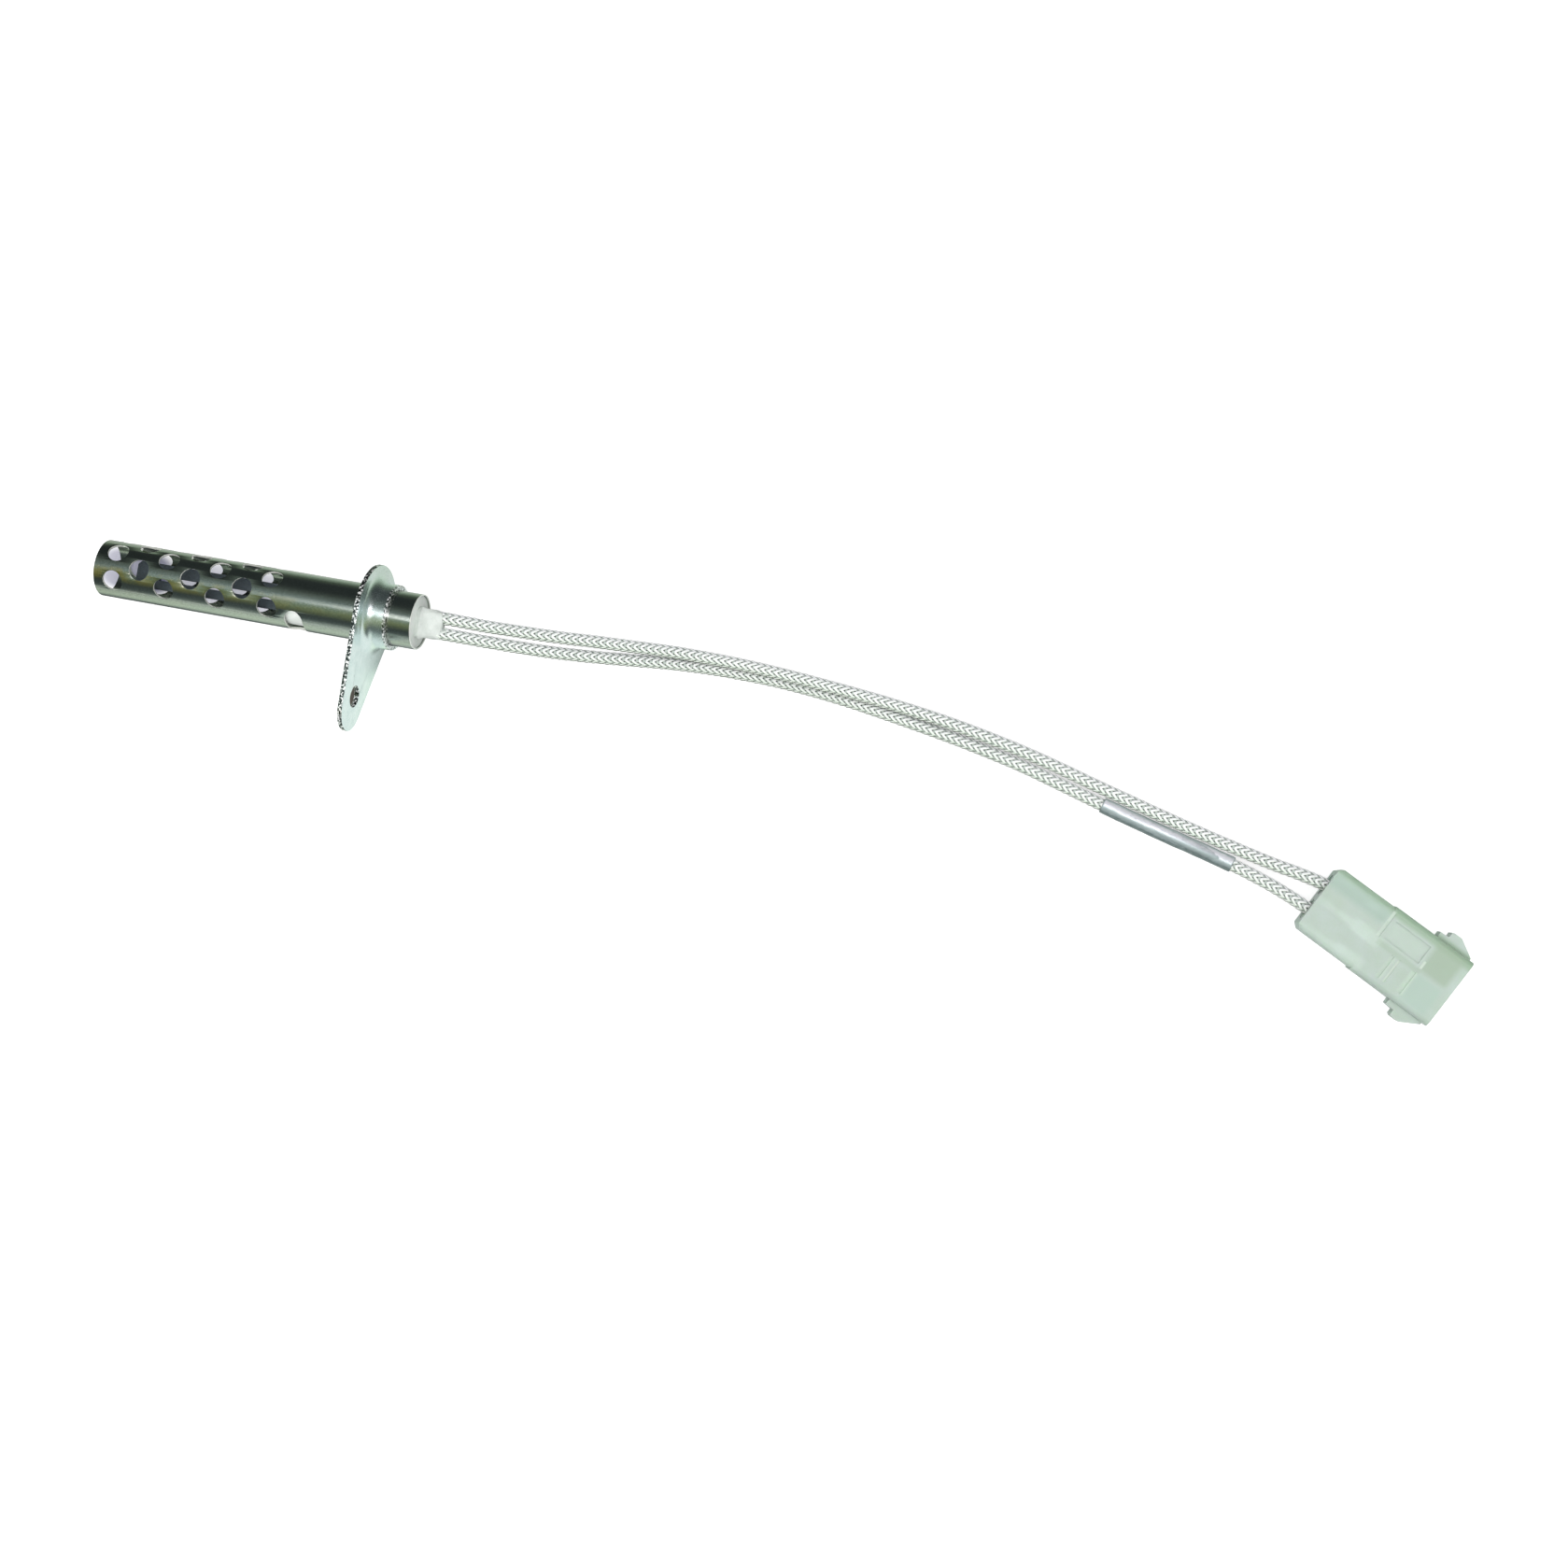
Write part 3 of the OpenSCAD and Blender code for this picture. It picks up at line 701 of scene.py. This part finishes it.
def nylon():
    """Natural nylon: cloudy, translucent and satin, with painted light and shade that follow the walls,
    edges and hollows.
    """
    g = Graph("natural_nylon")
    cloud = g.noise(g.place((0.22, 0.22, 0.22)), 1, 3)
    fine = g.noise(g.place((3, 3, 3)), 1, 4, 0.6)
    tone = g.ramp(cloud, [(0.3, (0.53, 0.64, 0.55)), (0.7, (0.57, 0.67, 0.62))])
    tone = g.mix(0.1, tone, g.ramp(fine, [(0.3, (0.46, 0.55, 0.46)), (0.7, (0.70, 0.78, 0.72))]))
    x, y, z = g.axes(g.place((1, 1, 1), CONN_TURN))
    wire_end = Matrix.Rotation(-CONN_YAW, 3, "Z") @ (CONN_AT / MM)
    along = g.math("SUBTRACT", x, wire_end.x)
    across = g.math("SUBTRACT", y, wire_end.y)
    # painted light and shade laid zone by zone
    for x0, x1, y0, y1, soft, amount, colour in NYLON_PAINTED_LIGHT:
        zone = g.math("MULTIPLY", soft_span(g, along, x0, x1, soft), soft_span(g, across, y0, y1, soft))
        tone = g.mix(g.math("MULTIPLY", zone, amount), tone, colour)
    g.colour(tone)
    g.set(Subsurface_Weight=0.6, Subsurface_Radius=(1.0, 1.3, 1.0), Subsurface_Scale=1.2 * MM)
    g.set(Transmission_Weight=0.15, IOR=1.5)
    g.shader.inputs["Specular IOR Level"].default_value = 0.3
    g.roughness(fine, 0.35, 0.5)
    g.bump(fine, 0.15, 0.02)
    return g.material


def metal(name, light, dark, low, high, turn=(0, 0, 0)):
    """Small metal parts: drawn lines, uneven shine and faint tarnish."""
    g = Graph(name)
    g.set(Metallic=1.0)
    lines = g.noise(g.place((0.4, 6, 6), turn), 1, 4, 0.7)
    tarnish = g.noise(g.place((0.8, 0.8, 0.8)), 1, 3)
    tone = g.ramp(tarnish, [(0.35, dark), (0.65, light)])
    g.colour(g.mix(0.3, tone, g.ramp(lines, [(0.3, dark), (0.7, light)])))
    g.roughness(lines, low, high)
    g.bump(lines, 0.2, 0.02)
    return g.material


def dark_ceramic():
    """Sensing element: dense dark ceramic with a sintered grain and paler clouds."""
    g = Graph("dark_ceramic")
    grain = g.noise(g.place((4, 4, 4)), 1, 5, 0.7)
    cloud = g.noise(g.place((0.5, 0.5, 0.5)), 1, 3)
    tone = g.ramp(grain, [(0.3, (0.035, 0.05, 0.06)), (0.7, (0.09, 0.12, 0.14))])
    g.colour(g.mix(g.ramp(cloud, [(0.45, 0.0), (0.75, 0.5)]), tone, (0.08, 0.10, 0.12)))
    g.roughness(grain, 0.5, 0.75)
    g.bump(grain, 0.5, 0.05)
    return g.material


def silicone():
    """Silicone insulation: hazy off-white with a satin skin."""
    g = Graph("silicone")
    haze = g.noise(g.place((2, 2, 2)), 1, 4)
    g.colour(g.ramp(haze, [(0.3, (0.62, 0.62, 0.59)), (0.7, (0.74, 0.74, 0.71))]))
    g.set(Subsurface_Weight=0.2, Subsurface_Scale=0.5 * MM)
    g.roughness(haze, 0.45, 0.6)
    g.bump(haze, 0.2, 0.03)
    return g.material


NICKEL = metal("nickel_wire", (0.66, 0.64, 0.60), (0.50, 0.48, 0.45), 0.25, 0.42, PROBE_TURN)
CONDUCTOR = metal("conductor", (0.72, 0.70, 0.66), (0.56, 0.53, 0.49), 0.25, 0.4, PROBE_TURN)
CONTACT = metal("contact_brass", (0.80, 0.76, 0.66), (0.66, 0.58, 0.42), 0.2, 0.34, CONN_TURN)
SILICONE = silicone()
STEATITE = ceramic("steatite", (0.98, 1.0, 0.98), (0.86, 0.93, 0.87), 0.03)
CEMENT = ceramic("cement", (0.80, 0.85, 0.81), (0.64, 0.69, 0.65), 0.09)
MATERIALS = {
    "shield_tube": stainless(),
    "mounting_flange": plated(),
    "ceramic_insulator": STEATITE,
    "front_cement": CEMENT,
    "rear_cement": CEMENT,
    "sensing_element": dark_ceramic(),
    "connector_housing": nylon(),
    "near_lead": glass_braid("glass_braid_plain", (0.74, 0.79, 0.72), (0.60, 0.66, 0.58)),
    "marker_sleeve": silver_sleeve(),
}
for side in ("near_", "far_"):
    MATERIALS.update({
        side + "element_pin": NICKEL,
        side + "splice": NICKEL,
        side + "conductor": CONDUCTOR,
        side + "insulation": SILICONE,
        side + "contact": CONTACT,
    })
MATERIALS["far_lead"] = MATERIALS["near_lead"]

for name, piece in nodes.items():
    piece.data.materials.clear()
    piece.data.materials.append(MATERIALS[name])

# painted light: a lit copy of the yarn for strands on top, a painted-shade copy for strands below, and
# near-black painted shade on the core that shows in the gaps
LIT_STRAND = glass_braid("glass_braid", (1.0, 1.0, 1.0), (0.92, 0.96, 0.93))
SHADED_CORE = glass_braid("braid_core", (0.08, 0.09, 0.08), (0.05, 0.06, 0.05))
SHADED = glass_braid("glass_braid_shaded", (0.66, 0.72, 0.68), (0.50, 0.56, 0.52))
for piece in (near_braid, far_braid):
    for material in (LIT_STRAND, SHADED_CORE, SHADED, CEMENT):      # in the order ON_TOP, CORE_FACE, BELOW, WET
        piece.data.materials.append(material)
sleeve.data.materials.append(MATERIALS["marker_sleeve"])
cement.data.materials.append(CEMENT)


# ---------------------------------------------------------------- rounded edges on the CAD nodes
def soften(name, width, segments=3, angle=32):
    """Welds a node's facets, then rounds its edges by width in mm and smooths its curved faces."""
    piece = nodes[name]
    weld = piece.modifiers.new("weld", "WELD")
    weld.merge_threshold = 0.002 * MM
    bevel = piece.modifiers.new("round", "BEVEL")
    bevel.width = width * MM
    bevel.segments = segments
    bevel.limit_method = "ANGLE"
    bevel.angle_limit = math.radians(angle)
    bevel.harden_normals = False
    bevel.use_clamp_overlap = True
    piece.data.shade_smooth()
    normals = piece.modifiers.new("normals", "WEIGHTED_NORMAL")
    normals.keep_sharp = True


soften("mounting_flange", 0.16)
soften("shield_tube", 0.2, 2, 40)
soften("ceramic_insulator", 0.12)
soften("sensing_element", 0.12)
soften("connector_housing", 0.18)


# ---------------------------------------------------------------- floor, light and studio
FLOOR_GLOW = 0.66             # light the floor sends to the camera by itself
FLOOR_BOUNCE = 0.3            # grey of the floor for soft light
FLOOR_HALF = 6.0              # half its size in metres
FLOOR_TONES = [               # what polished metal reflects of the floor: place across it in mm, colour
    (-130, (0.75, 0.84, 0.78)), (-36, (0.80, 0.92, 0.80)), (-11, (0.83, 0.98, 0.82)),
    (-7.5, (0.80, 0.95, 0.78)), (-5.6, (0.56, 0.72, 0.58)), (-4.0, (0.28, 0.36, 0.30)),
    (-2.0, (0.14, 0.18, 0.15)), (6, (0.14, 0.17, 0.15)), (13, (0.50, 0.56, 0.50)),
    (16, (0.60, 0.66, 0.60)), (18.5, (0.60, 0.68, 0.60)), (21.7, (0.62, 0.72, 0.62)),
    (26.4, (0.48, 0.60, 0.48)), (34, (0.28, 0.36, 0.28)), (52, (0.09, 0.12, 0.09)),
    (140, (0.05, 0.06, 0.06)),
]
PALE_BEHIND = (27, 34)        # the reflected floor turns pale behind the flange, between these X in mm
PALE_BESIDE = (18, 13)        # and between these Y
PALE_TONE = (0.82, 0.92, 0.88)
FLOOR_SHADES = [              # shade to be seen through holes: middle and half sizes in mm, glow, colour
    (-34, 8.4, 9.4, 5.2, (0.06, 0.06, 0.14), (0.62, 0.62, 0.66)),
    (-10, 8.4, 16, 5.2, (0.5, 0.5, 0.58), (0.7, 0.7, 0.72)),
    (21.75, -10.8, 1.7, 3, (0.02, 0.02, 0.015), (0.1, 0.09, 0.08)),
]


def reflected_floor(g, x, y):
    """The floor that metal sees: it darkens on both sides, and is pale behind the flange."""
    first, last = FLOOR_TONES[0][0], FLOOR_TONES[-1][0]
    stops = [((place - first) / (last - first), colour) for place, colour in FLOOR_TONES]
    tone = g.ramp(g.stretch(y, (first, last)), stops)
    pale = g.math("MULTIPLY", g.stretch(x, PALE_BEHIND), g.stretch(y, PALE_BESIDE))
    return g.mix(pale, tone, PALE_TONE)


def seen_floor(g, x, y):
    """The floor that the camera sees: its glow and its colour, both darker in the small shades."""
    cloud = g.noise(g.place((0.004, 0.004, 0.004)), 1, 2)
    glow = (1, 1, 1)
    pale = g.ramp(cloud, [(0.3, (0.71, 0.71, 0.71)), (0.7, (0.73, 0.73, 0.73))])
    for middle_x, middle_y, half_x, half_y, shine, dull in FLOOR_SHADES:
        out = []
        for value, middle, half in ((x, middle_x, half_x), (y, middle_y, half_y)):
            off = g.math("DIVIDE", g.math("SUBTRACT", value, middle), half)
            out.append(g.math("POWER", g.math("ABSOLUTE", off), 4))
        inside = g.ramp(g.math("ADD", *out), [(0.3, 1.0), (1.0, 0.0)])
        glow = g.mix(inside, glow, shine)
        pale = g.mix(inside, pale, dull)
    return glow, pale


def make_floor():
    """White for the camera; it throws little light back, and metal sees it in other tones."""
    g = Graph("floor")
    rays = g.node("ShaderNodeLightPath")
    seen, glossy = rays.outputs["Is Camera Ray"], rays.outputs["Is Glossy Ray"]
    x, y, z = g.axes(g.place())
    glow, pale = seen_floor(g, x, y)
    bounce = g.mix(glossy, (FLOOR_BOUNCE,) * 3, (0, 0, 0))
    g.colour(g.mix(seen, bounce, pale))
    g.set(Roughness=0.9)
    g.link(g.mix(glossy, glow, reflected_floor(g, x, y)), g.shader.inputs["Emission Color"])
    strength = g.math("ADD", glossy, g.math("MULTIPLY", seen, FLOOR_GLOW))
    g.link(strength, g.shader.inputs["Emission Strength"])
    g.shader.inputs["Specular IOR Level"].default_value = 0.0
    half = FLOOR_HALF
    floor = new_mesh("floor", [(-half, -half, 0), (half, -half, 0), (half, half, 0), (-half, half, 0)],
                     [(0, 1, 2, 3)], smooth=False)
    floor.data.materials.append(g.material)


AMBIENT = 0.42                # grey of the world for soft light
BACKDROP = 0.96               # and for the camera
WORLD_TONES = [               # what metal reflects of the world: Y of the direction, colour
    (-1.0, (0.80, 0.92, 0.82)), (-0.945, (0.66, 0.78, 0.72)), (-0.925, (0.52, 0.60, 0.56)),
    (-0.905, (0.27, 0.33, 0.31)), (-0.87, (0.10, 0.13, 0.13)), (-0.74, (0.07, 0.09, 0.09)),
    (-0.58, (0.17, 0.21, 0.13)), (-0.4, (0.28, 0.34, 0.19)), (-0.2, (0.34, 0.44, 0.34)),
    (0.0, (0.42, 0.53, 0.51)), (0.2, (0.26, 0.33, 0.32)), (0.4, (0.17, 0.21, 0.19)),
    (0.58, (0.08, 0.10, 0.09)), (0.74, (0.04, 0.05, 0.05)), (1.0, (0.04, 0.05, 0.05)),
]


def make_world():
    """Pale for the camera, even for soft light; reflections see a tone that changes from side to side."""
    world = bpy.data.worlds.new("studio")
    scene.world = world
    world.use_nodes = True
    tree = world.node_tree
    background = tree.nodes["Background"]
    direction = tree.nodes.new("ShaderNodeTexCoord").outputs["Generated"]
    split = tree.nodes.new("ShaderNodeSeparateXYZ")
    tree.links.new(direction, split.inputs["Vector"])
    spread = tree.nodes.new("ShaderNodeMapRange")
    spread.inputs["From Min"].default_value = -1
    tree.links.new(split.outputs["Y"], spread.inputs["Value"])
    ramp = tree.nodes.new("ShaderNodeValToRGB")
    tree.links.new(spread.outputs["Result"], ramp.inputs["Fac"])
    elements = ramp.color_ramp.elements
    elements[0].position, elements[1].position = 0, 1
    elements[0].color = (*WORLD_TONES[0][1], 1)
    elements[1].color = (*WORLD_TONES[-1][1], 1)
    for y, colour in WORLD_TONES[1:-1]:
        elements.new((y + 1) / 2).color = (*colour, 1)
    path = tree.nodes.new("ShaderNodeLightPath")
    shown = ramp.outputs["Color"]
    for rays, flat in (("Is Diffuse Ray", AMBIENT), ("Is Camera Ray", BACKDROP)):
        mixed = tree.nodes.new("ShaderNodeMix")
        mixed.data_type = "RGBA"
        tree.links.new(path.outputs[rays], mixed.inputs["Factor"])
        colours = [s for s in mixed.inputs if s.type == "RGBA"]
        tree.links.new(shown, colours[0])
        colours[1].default_value = (flat, flat, flat, 1)
        shown = next(o for o in mixed.outputs if o.type == "RGBA")
    tree.links.new(shown, background.inputs["Color"])


def area_light(name, at, target, size, power, colour=(1, 1, 1), glossy=False):
    """A rectangular light, in metres and watts; a glossy one shows only as a highlight on shiny things."""
    light = bpy.data.lights.new(name, "AREA")
    light.shape = "RECTANGLE"
    light.size, light.size_y = size
    light.energy = power
    light.color = colour
    lamp = bpy.data.objects.new(name, light)
    scene.collection.objects.link(lamp)
    lamp.location = at
    lamp.rotation_euler = (Vector(target) - Vector(at)).to_track_quat("-Z", "Y").to_euler()
    lamp.visible_glossy = glossy
    lamp.visible_diffuse = not glossy
    return lamp


make_floor()
make_world()
# name, place, target, size, power
area_light("key", (0.05, -0.25, 1.6), (0.1, 0, 0), (1.8, 1.8), 23.6)
area_light("fill", (0.6, 0.03, 0.13), (0.03, 0.01, 0.01), (0.2, 0.2), 0.3)
area_light("glint", (0.33, 0.06, 0.75), (0.03, 0.01, 0.01), (0.16, 0.45), 2.2, (1, 0.93, 1), glossy=True)
area_light("crest", (-0.33, 0.05, 0.9), (0, 0.007, 0.01), (0.25, 0.12), 0.15, glossy=True)
area_light("flash", (0.06, -0.02, 0.9), (0.06, -0.02, 0), (0.75, 0.12), 0.8, glossy=True)
scene.view_settings.view_transform = "Standard"
scene.view_settings.look = "None"

bpy.context.view_layer.update()
